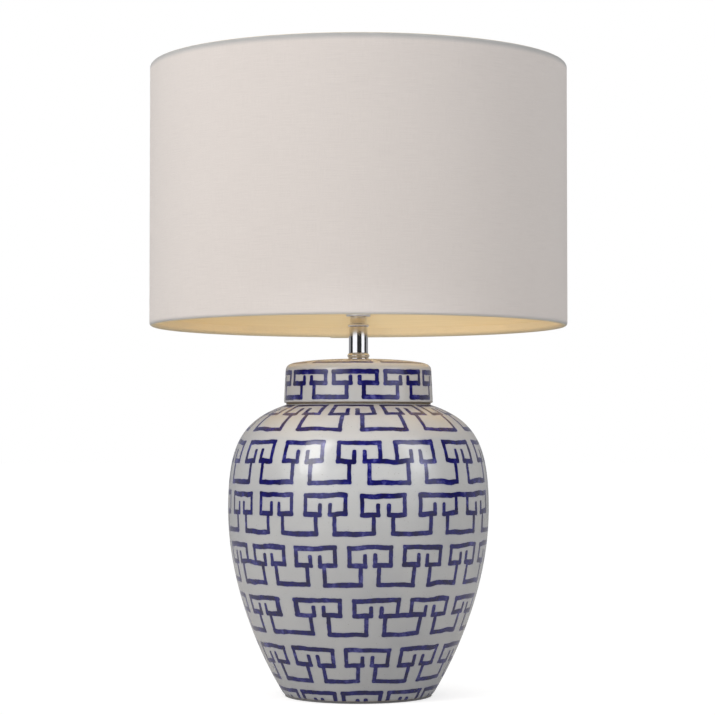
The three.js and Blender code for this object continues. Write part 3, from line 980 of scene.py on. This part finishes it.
def make_shade_ring(node, name):
    """A moulded ring nut with grip ribs round it."""
    outer, bottom, top = span(node)
    bore = 20.1
    deselect()
    bpy.ops.mesh.primitive_cylinder_add(
        vertices=96, radius=(outer - 0.8) * MM, depth=(top - bottom) * MM, end_fill_type="NOTHING",
        location=(0, 0, (top + bottom) / 2 * MM))
    ring = named(name)
    bpy.ops.object.transform_apply(location=True)
    for polygon in ring.data.polygons:
        around = degrees(atan_of(polygon.center))
        polygon.select = int(around // 3.75) % 4 < 2
    editing(True)
    bpy.ops.mesh.select_mode(type="FACE")
    bpy.ops.mesh.inset(thickness=0.5 * MM, depth=0.8 * MM, use_boundary=True)
    bpy.ops.mesh.select_all(action="SELECT")
    bpy.ops.mesh.region_to_loop()
    bpy.ops.mesh.extrude_edges_move()
    scale = bore / (outer - 0.8)
    bpy.ops.transform.resize(value=(scale, scale, 1), center_override=(0, 0, 0))
    bpy.ops.mesh.bridge_edge_loops()
    editing(False)
    clean(ring)
    return smooth(ease(ring, 0.3, 2, 40))


def atan_of(place):
    """The angle round the axis, from 0 to a full turn."""
    return (atan2(place.y, place.x) + tau) % tau


# ---- shade ------------------------------------------------------------------------------------

# In millimetres: how thick the cloth and the film are, how tightly the hems roll, how far the seam
# laps and lifts, how far the upper hem stands past its plain height, and the wires' radius.
CLOTH = 0.6
FILM_THICK = 0.4
HEM_BEND = 3
LAP = 12
LAP_RISE = 30
TOP_LIFT = 1
WIRE = 2
SEAM_AT = 95  # degrees round from the right: just off the back


def rim_lean(angle):
    """How far the lower rim stands off its plain height: it was sewn a little higher in front."""
    return 1.0 - 2.1 * sin(angle)


def hem_middle(at_top):
    """(radius, height) of the middle of a hem's roll, where its wire lies."""
    outer, bottom, top = span("shade_cover")
    return outer - HEM_BEND, top + TOP_LIFT - HEM_BEND if at_top else bottom + HEM_BEND


def drum_path():
    """The cloth's outer face from the end of one hem, glued to the liner, to the end of the other."""
    outer, _, _ = span("shade_cover")
    middle, low = hem_middle(False)
    _, high = hem_middle(True)
    wall_steps = 26
    places = [(outer - 1.8, low + 7), (outer - 3.2, low + 5)]
    places += arc(middle, low, HEM_BEND, -215, 0, 16)
    places += [(outer, low + (high - low) * step / wall_steps) for step in range(1, wall_steps)]
    places += arc(middle, high, HEM_BEND, 0, 215, 16)
    return places + [(outer - 3.2, high - 5), (outer - 1.8, high - 7)]


def rolled(name, path, radius, thick, columns):
    """A flat cut of cloth rolled round the drum along a path of (radius, height) points, its far
    end lapped over its near end. Its UV map is the flat cut, in metres."""
    rows = len(path) - 1
    deselect()
    bpy.ops.mesh.primitive_grid_add(x_subdivisions=columns, y_subdivisions=rows, size=1, calc_uvs=True)
    cloth = named(name)
    run = [0.0]
    for before, after in zip(path, path[1:]):
        run.append(run[-1] + hypot(after[0] - before[0], after[1] - before[1]))
    outward = offset(path, -1)
    width = tau * radius + LAP
    _, lowest, highest = span("shade_cover")
    for vertex in cloth.data.vertices:
        along = (vertex.co.x + 0.5) * width
        row = round((vertex.co.y + 0.5) * rows)
        share = min(max((along - (width - LAP - LAP_RISE)) / LAP_RISE, 0), 1)
        lift = (thick + 0.12) * share * share * (3 - 2 * share)
        away = path[row][0] + lift * (outward[row][0] - path[row][0])
        height = path[row][1] + lift * (outward[row][1] - path[row][1])
        angle = radians(SEAM_AT) + along / radius
        height += rim_lean(angle) * (highest - height) / (highest - lowest)
        vertex.co = (away * cos(angle) * MM, away * sin(angle) * MM, height * MM)
    flat = cloth.data.uv_layers.active
    for corner in flat.data:
        row = round(corner.uv.y * rows)
        corner.uv = (corner.uv.x * width * MM, run[row] * MM)
    thicken = cloth.modifiers.new("thickness", "SOLIDIFY")
    thicken.thickness = thick * MM
    thicken.offset = -1
    apply(cloth, thicken)
    smooth(cloth, 50)
    return cloth, (width * MM, run[-1] * MM)


def make_cover():
    outer, _, _ = span("shade_cover")
    return rolled("linen_cover", drum_path(), outer, CLOTH, 300)


def make_liner_film():
    outer, bottom, top = span("shade_liner")
    steps = 12
    path = [(outer - 0.1, bottom + (top - bottom) * step / steps) for step in range(steps + 1)]
    return rolled("shade_film", path, outer, FILM_THICK, 240)


def make_rim_wire(name, at_top):
    """A wire hoop, with the swelling where its ends are butt-welded at the back."""
    radius, height = hem_middle(at_top)
    deselect()
    bpy.ops.mesh.primitive_torus_add(
        major_radius=radius * MM, minor_radius=WIRE * MM, major_segments=200, minor_segments=14,
        location=(0, 0, height * MM))
    bpy.ops.object.transform_apply(location=True)
    hoop = named(name)
    weld = Vector((0, radius, height)) * MM
    for vertex in hoop.data.vertices:
        near = max(0, 1 - (vertex.co - weld).length / (6 * MM))
        core = Vector((vertex.co.x, vertex.co.y, 0)).normalized() * radius * MM + Vector((0, 0, height * MM))
        vertex.co += (vertex.co - core) * 0.12 * near
        if not at_top:
            vertex.co.z += rim_lean(atan_of(vertex.co)) * MM
    return smooth(hoop, 60)


def make_spider_arm(name, angle):
    """A wire out from the fitter ring, bent down to the lower rim wire, welded at both ends."""
    fitter_r, fitter_low, fitter_high = span("fitter_ring")
    reach, wire_middle = hem_middle(False)
    wire_high = wire_middle + WIRE + rim_lean(radians(angle))
    radius = 1.6
    bend = 15
    height = (fitter_low + fitter_high) / 2
    deselect()
    bpy.ops.mesh.primitive_circle_add(
        vertices=14, radius=radius * MM, fill_type="NGON", location=((fitter_r - 1.5) * MM, 0, height * MM),
        rotation=(0, pi / 2, 0))
    arm = named(name)
    bpy.ops.object.transform_apply(location=True, rotation=True)
    editing(True)
    bpy.ops.mesh.select_mode(type="FACE")
    bpy.ops.mesh.select_all(action="SELECT")
    straight = (reach - bend - fitter_r + 1.5) * MM
    bpy.ops.mesh.extrude_region_move(TRANSFORM_OT_translate={"value": (straight, 0, 0)})
    bpy.ops.mesh.spin(
        steps=10, angle=pi / 2, center=((reach - bend) * MM, 0, (height - bend) * MM), axis=(0, 1, 0))
    drop = (height - bend - wire_high + 0.6) * MM
    bpy.ops.mesh.extrude_region_move(TRANSFORM_OT_translate={"value": (0, 0, -drop)})
    editing(False)
    beads = [arm]
    for place in ((fitter_r + 0.2, height), (reach, wire_high - 0.2)):
        deselect()
        bpy.ops.mesh.primitive_uv_sphere_add(
            segments=14, ring_count=8, radius=2.1 * MM, location=(place[0] * MM, 0, place[1] * MM))
        bead = named(name + "_bead")
        bead.scale = (1, 1.15, 0.75)
        bpy.ops.object.transform_apply(location=True, scale=True)
        beads.append(bead)
    arm = join(name, beads)
    arm.data.transform(Matrix.Rotation(radians(angle), 4, "Z"))
    return smooth(arm, 50)


def make_fitter_ring():
    """A pressed steel ring with a raised lip round its bore."""
    outer, bottom, top = span("fitter_ring")
    bore = 21
    return smooth(ease(turned("fitter_plate", [
        (bore, bottom), (outer, bottom), (outer, top),
        (bore + 3.2, top), (bore + 2.6, top - 0.5), (bore + 1.2, top - 0.5), (bore + 0.8, top), (bore, top),
    ]), 0.3), 30)


# ---- bulb -------------------------------------------------------------------------------------


def make_bulb_glass_piece():
    outer, bottom, top = span("bulb_glass")
    widest = 441
    neck = curve((12.2, bottom), (12.6, bottom + 10), (outer, widest - 13), (outer, widest), 14)
    flame = curve((outer, widest), (outer, widest + 21), (5, widest + 43), (0.6, top - 0.2), 24)
    outside = neck + flame[1:]
    inside = [p for p in offset(outside, 1.2)[::3] if p[0] > 1][::-1]
    return smooth(turned("bulb_envelope", [(0, top - 2.4), *inside, *outside, (0, top)]))


def make_bulb_cap():
    outer, bottom, top = span("bulb_cap")
    outside = ridges(outer, bottom + 1, top - 5, 3.6, 0.75)
    return smooth(turned("bulb_screw_cap", [
        (outer - 1.1, bottom), *outside, (outer - 0.3, top - 4.4), (outer - 0.3, top - 1),
        (outer - 0.8, top + 0.2), (outer - 1.2, top + 0.2), (outer - 1.2, bottom + 1),
    ]), 60)


def make_bulb_insulator():
    _, bottom, top = span("bulb_insulator")
    return smooth(ease(turned("bulb_glass_seat", [
        (2.5, bottom), (5.2, bottom), (6, bottom + 0.8), (11.4, top + 0.2), (2.5, top + 0.2),
    ]), 0.25))


def make_bulb_contact():
    outer, bottom, top = span("bulb_contact")
    return smooth(turned("bulb_solder_contact", [
        (0, bottom), *curve((1, bottom), (3, bottom), (outer, top - 0.8), (outer, top), 8), (0, top),
    ]))


# ---- under the foot ---------------------------------------------------------------------------


def make_felt_ring():
    outer, _, top = span("foot_felt")
    return smooth(ease(turned("felt_ring", [
        (outer - 4.7, 0), (outer, 0), (outer, top + 0.3), (outer - 4.7, top + 0.3),
    ], ROUND), 0.35, 3))


def make_rubber_washer():
    outer, bottom, top = span("base_rubber_washer")
    return smooth(ease(turned("rubber_washer", [
        (ROD_HOLE, bottom), (outer, bottom), (outer, top + 0.3), (ROD_HOLE, top + 0.3),
    ]), 0.4, 3))


def make_clamp_disc():
    """Pressed steel, with one stiffening ring pressed into it."""
    outer, bottom, top = span("base_plate")
    return smooth(ease(turned("clamp_disc", [
        (ROD_HOLE, bottom), (16, bottom), (17.5, bottom + 0.6), (20.5, bottom + 0.6), (22, bottom),
        (outer, bottom), (outer, top + 0.2), (ROD_HOLE, top + 0.2),
    ]), 0.25), 30)


def make_lock_washer():
    """A star washer: a thin ring whose teeth are bent up and down by turns."""
    outer, bottom, top = span("base_lock_washer")
    middle = (bottom + top) / 2
    washer = turned("star_washer", [
        (ROD_HOLE, middle - 0.3), (6.8, middle - 0.3), (outer, middle - 0.3), (outer, middle + 0.3),
        (6.8, middle + 0.3), (ROD_HOLE, middle + 0.3),
    ], 48)
    for vertex in washer.data.vertices:
        tooth = int(degrees(atan_of(vertex.co)) // 7.5) % 4
        if hypot(vertex.co.x, vertex.co.y) > 8 * MM:
            if tooth in (0, 1):
                vertex.co.z += (0.3 if tooth else -0.3) * MM
            else:
                vertex.co.x *= 0.84
                vertex.co.y *= 0.84
    return smooth(washer, 30)


def make_nut():
    """A hexagon nut with its corners turned off at both ends."""
    low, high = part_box("base_nut")
    flats = (high.y - low.y) / MM
    bottom, top = low.z / MM, high.z / MM
    blank = turned("hex_nut", [
        (ROD_HOLE - 0.6, bottom + 0.6), (ROD_HOLE, bottom),
        (flats / 2 - 0.2, bottom), (flats / 2 + 1.3, bottom + 0.9),
        (flats / 2 + 1.3, top - 0.9), (flats / 2 - 0.2, top),
        (ROD_HOLE, top), (ROD_HOLE - 0.6, top - 0.6),
    ])
    deselect()
    bpy.ops.mesh.primitive_cylinder_add(
        vertices=6, radius=flats / sqrt(3) * MM, depth=20 * MM, location=(0, 0, (bottom + top) / 2 * MM),
        rotation=(0, 0, pi / 6))
    hexagon = named("hexagon")
    keep = blank.modifiers.new("flats", "BOOLEAN")
    keep.operation = "INTERSECT"
    keep.solver = "EXACT"
    keep.object = hexagon
    apply(blank, keep)
    bpy.data.objects.remove(hexagon)
    return smooth(ease(blank, 0.15), 30)


def make_rod():
    """The threaded tube. Its thread shows only under the nut, so the rest is left plain."""
    outer, bottom, top = span("threaded_rod")
    bore = 3.5
    return smooth(turned("all_thread", [
        (bore, bottom), (outer - 0.7, bottom), *ridges(outer, bottom + 0.6, bottom + 15.6, 1.0, 0.55),
        (outer - 0.3, bottom + 16), (outer - 0.3, top), (bore, top),
    ]), 30)


# ---- everything in place ----------------------------------------------------------------------


def build_lamp():
    chrome = make_metal("polished_chrome", (0.80, 0.80, 0.81, 1), 0.03, 0.09, tint=(0.74, 0.74, 0.76, 1))
    zinc = make_metal("zinc_plate", (0.60, 0.61, 0.62, 1), 0.32, 0.5, rings=900.0)
    brass = make_metal("plain_brass", (0.72, 0.52, 0.22, 1), 0.25, 0.42, rings=900.0)
    nickel = make_metal("nickel_cap", (0.66, 0.63, 0.58, 1), 0.22, 0.4, rings=900.0)
    white_coat = make_moulded("white_powder_coat", (0.80, 0.78, 0.73, 1), 0.32, 0.5, 0.00006)
    white_plastic = make_moulded("white_plastic", (0.78, 0.76, 0.71, 1), 0.28, 0.42)
    porcelain = make_moulded("holder_porcelain", (0.80, 0.78, 0.73, 1), 0.18, 0.3)
    rubber = make_moulded("black_rubber", (0.022, 0.022, 0.024, 1), 0.5, 0.75, 0.00008)
    base, shade = "lamp_base", "shade"
    on_base = [
        (make_felt_ring, "foot_felt", "felt", make_felt("black_felt")),
        (make_jar, "jar", "glaze", make_glaze("jar_glaze", paint_jar, span("jar")[1] + 0.5)),
        (make_bushing, "cord_bushing", "black_rubber", rubber),
        (make_rubber_washer, "base_rubber_washer", "black_rubber", rubber),
        (make_clamp_disc, "base_plate", "zinc_steel", zinc),
        (make_lock_washer, "base_lock_washer", "zinc_steel", zinc),
        (make_nut, "base_nut", "zinc_steel", zinc),
        (make_rod, "threaded_rod", "zinc_steel", zinc),
        (make_seal, "lid_seal", "cork", make_cork("lid_cork")),
        (make_lid, "lid", "glaze", make_glaze("lid_glaze", paint_lid, span("lid")[1] + 0.7)),
        (make_base_ring, "neck_base_ring", "neck_chrome", chrome),
        (make_neck_tube, "neck_tube", "neck_chrome", chrome),
        (make_top_ring, "neck_top_ring", "neck_chrome", chrome),
        (make_spacer, "neck_spacer", "neck_chrome", chrome),
        (make_holder_cap, "holder_cap", "neck_chrome", chrome),
        (make_holder_shell, "holder_shell", "holder_plastic", white_plastic),
        (make_holder_core, "holder_core", "porcelain", porcelain),
        (make_screw_shell, "screw_shell", "contact_brass", brass),
    ]
    for make, node, slot, material in on_base:
        settle(make(), base, [node], material)
    settle(make_shade_ring("shade_ring_lower", "lower_ring_nut"), base, ["shade_ring_lower"],
           white_plastic)
    settle(make_shade_ring("shade_ring_upper", "upper_ring_nut"), "shade_collar", ["shade_ring_upper"],
           white_plastic)
    for node in ("centre_contact", "terminal_screw_live", "terminal_screw_neutral"):
        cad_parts[node].data.materials.clear()
        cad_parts[node].data.materials.append(brass)

    settle(make_fitter_ring(), shade, ["fitter_ring"], white_coat)
    for side, angle in (("back", 90), ("left", 210), ("right", 330)):
        arm = make_spider_arm(f"wire_arm_{side}", angle)
        settle(arm, shade, [f"spider_arm_{side}"], white_coat)
    settle(make_rim_wire("lower_hoop", False), shade, ["lower_rim_wire"], white_coat)
    settle(make_rim_wire("upper_hoop", True), shade, ["upper_rim_wire"], white_coat)
    film, film_cut = make_liner_film()
    settle(film, shade, ["shade_liner"], make_liner("cream_film"))
    cover, cover_cut = make_cover()
    linen = make_linen("slubbed_linen", *span("shade_cover"))
    settle(cover, shade, ["shade_cover"], linen)

    on_bulb = [
        (make_bulb_contact, "bulb_contact", "contact_brass", brass),
        (make_bulb_insulator, "bulb_insulator", "black_rubber", rubber),
        (make_bulb_cap, "bulb_cap", "cap_nickel", nickel),
        (make_bulb_glass_piece, "bulb_glass", "bulb_glass", make_bulb_glass("opal_glass")),
    ]
    for make, node, slot, material in on_bulb:
        settle(make(), "bulb", [node], material)


# ---- studio -----------------------------------------------------------------------------------


def make_floor():
    """A wide pale floor that fades to the backdrop's white a little way from the lamp."""
    deselect()
    bpy.ops.mesh.primitive_circle_add(vertices=96, radius=14, fill_type="NGON", location=(0, 0, -0.0003))
    floor = named("floor")
    material, tree, shader = finish_of("pale_floor", Roughness=0.9, Specular_IOR_Level=0.1)
    shader.inputs["Emission Color"].default_value = (1, 1, 1, 1)
    place = object_place(tree)
    away = add(tree, "ShaderNodeVectorMath", place, operation="LENGTH").outputs["Value"]
    far = spread(tree, away, 0.07, 0.17, kind="SMOOTHSTEP")
    seen = add(tree, "ShaderNodeLightPath").outputs["Is Camera Ray"]
    painted_glow = calc(tree, "MULTIPLY", far, seen)
    tone = mix_colour(tree, painted_glow, (0.62, 0.61, 0.60, 1), (0, 0, 0, 1))
    glow = calc(tree, "MULTIPLY", seen, mix_value(tree, far, 0.62, 1.0))
    wire_up(tree, shader, Base_Color=tone, Emission_Strength=glow)
    floor.data.materials.append(material)


def towards(place, aim):
    """The turn that points a light at a place from there to its aim."""
    return (Vector(aim) - Vector(place)).to_track_quat("-Z", "Y").to_euler()


def panel(name, place, aim, width, height, power, colour):
    """A soft rectangular light aimed at a point."""
    bpy.ops.object.light_add(type="AREA", location=place, rotation=towards(place, aim))
    light = named(name)
    light.data.shape = "RECTANGLE"
    light.data.size = width
    light.data.size_y = height
    light.data.energy = power
    light.data.color = colour
    return light


def add_glow():
    """The bulb's own light."""
    bpy.ops.object.light_add(type="POINT", location=(0, 0, 0.47))
    glow = named("bulb_light")
    glow.data.energy = 0.29
    glow.data.color = (1.0, 0.62, 0.30)
    glow.data.shadow_soft_size = 0.045
    return glow


def add_low_spot():
    """A narrow light from low in front, which opens the shadow that the shade throws on the lid."""
    bpy.ops.object.light_add(type="SPOT", location=(0, -1.8, 0.2))
    low = named("low_spot")
    low.rotation_euler = towards(low.location, (0, 0, 0.278))
    low.scale = (1.8, 1, 1)
    low.data.energy = 52
    low.data.color = (0.93, 0.97, 1.0)
    low.data.spot_size = radians(7)
    low.data.spot_blend = 1.0
    low.data.shadow_soft_size = 0.05
    return low


def set_lights():
    middle = (0, 0, 0.3)
    panel("key_panel", (-1.26, -1.35, 1.45), middle, 0.85, 1.7, 27, (1.0, 0.985, 0.97))
    panel("fill_panel", (1.55, -1.0, 1.45), middle, 0.75, 1.7, 12.5, (0.97, 0.98, 1.0))
    panel("top_panel", (0, 0.2, 2.6), middle, 2.0, 2.0, 6, (1.0, 1.0, 1.0))
    glow = add_glow()
    spill = panel("spill", (0, 0, 0.379), (0, 0, 0), 0.26, 0.26, 0.13, (1.0, 0.70, 0.42))
    for light in (glow, spill, add_low_spot()):
        light.visible_glossy = False


def set_world():
    """A soft grey room, dark in front, with two white cards for the lamp's bright parts to mirror."""
    world = bpy.data.worlds.new("studio")
    bpy.context.scene.world = world
    world.use_nodes = True
    tree = world.node_tree
    surface = tree.nodes["Background"]
    path = add(tree, "ShaderNodeLightPath").outputs
    way = add(tree, "ShaderNodeTexCoord").outputs["Generated"]
    x, y, z = add(tree, "ShaderNodeSeparateXYZ", way).outputs
    angle = calc(tree, "ARCTAN2", x, calc(tree, "MULTIPLY", y, -1.0))
    level = calc(tree, "MULTIPLY", spread(tree, z, 0.36, 0.30), spread(tree, z, -0.20, -0.12))
    left = calc(tree, "COMPARE", angle, radians(-44), radians(28))
    right = calc(tree, "COMPARE", angle, radians(57), radians(19))
    cards = calc(tree, "MULTIPLY", calc(tree, "MAXIMUM", left, right), level)
    behind = calc(tree, "GREATER_THAN", calc(tree, "ABSOLUTE", angle), radians(106))
    mirrored = mix_colour(tree, behind, (0.03, 0.03, 0.032, 1), (0.34, 0.34, 0.35, 1))
    mirrored = mix_colour(tree, cards, mirrored, (1.25, 1.25, 1.27, 1))
    seen = mix_colour(tree, path["Is Glossy Ray"], (0.52, 0.52, 0.52, 1), mirrored)
    seen = mix_colour(tree, path["Is Camera Ray"], seen, (1, 1, 1, 1))
    tree.links.new(seen, surface.inputs["Color"])


def set_tone():
    view = bpy.context.scene.view_settings
    view.view_transform = "Standard"
    view.look = "None"
    view.exposure = 0.0


set_camera()
build_lamp()
make_floor()
set_lights()
set_world()
set_tone()
